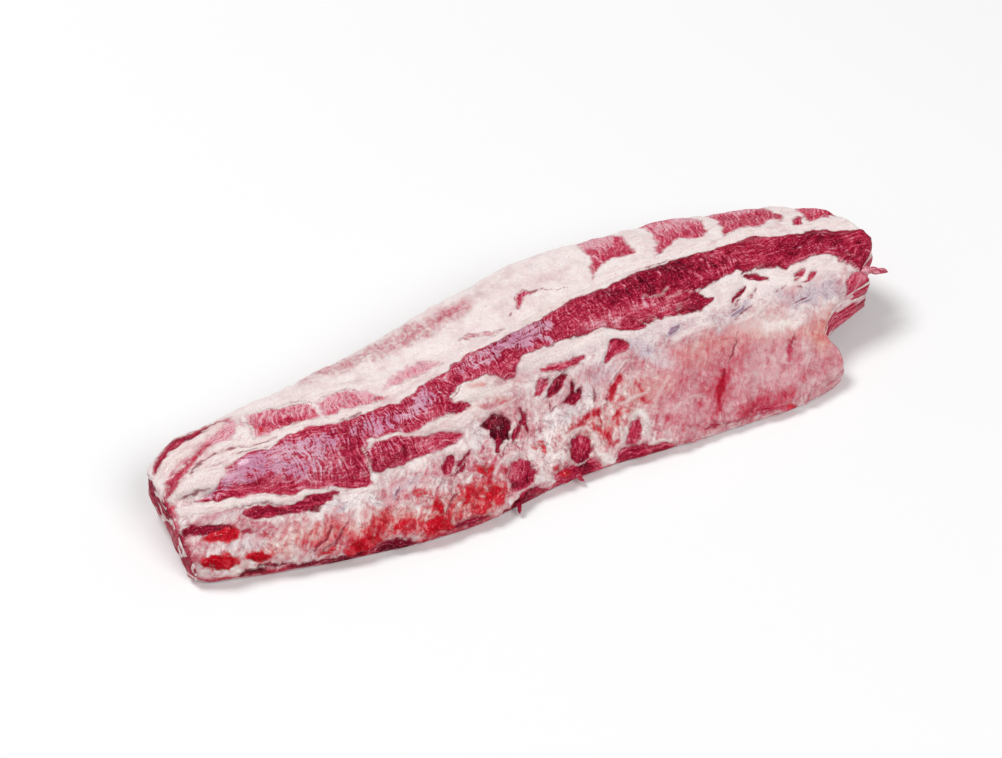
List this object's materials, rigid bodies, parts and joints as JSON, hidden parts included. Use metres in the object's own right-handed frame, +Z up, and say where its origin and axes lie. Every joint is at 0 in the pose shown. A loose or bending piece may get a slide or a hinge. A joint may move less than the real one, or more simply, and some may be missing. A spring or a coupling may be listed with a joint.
{
  "type": "raw lamb saddle side with ribs",
  "caption": "Raw lamb saddle side: a long trimmed rib rack lying outer side up, with fat cover, lean strap muscle and sawn rib ends.",
  "frame": {"origin": "under the middle of the whole box, on the surface that the meat lies on", "axes": "+X along the rack from the narrow neck end to the broad loin end, +Y from the thin rib-tip edge to the sawn face, +Z up through the outer side"},
  "size_m": [0.4004, 0.143, 0.0495],
  "materials": {
    "lean_meat": "moist raw lean lamb, purple-red with thin pale membranes",
    "fat": "moist cream to pink raw fat with lean showing through",
    "bone": "raw pale pink rib bone with a dark red spongy core at the sawn end"
  },
  "bodies": {
    "root": {"meat": "lean_meat", "fat_cover": "fat", "rib_01": "bone", "rib_02": "bone", "rib_03": "bone", "rib_04": "bone", "rib_05": "bone", "rib_06": "bone", "rib_07": "bone", "rib_08": "bone", "rib_09": "bone", "rib_10": "bone"}
  },
  "joints": []
}
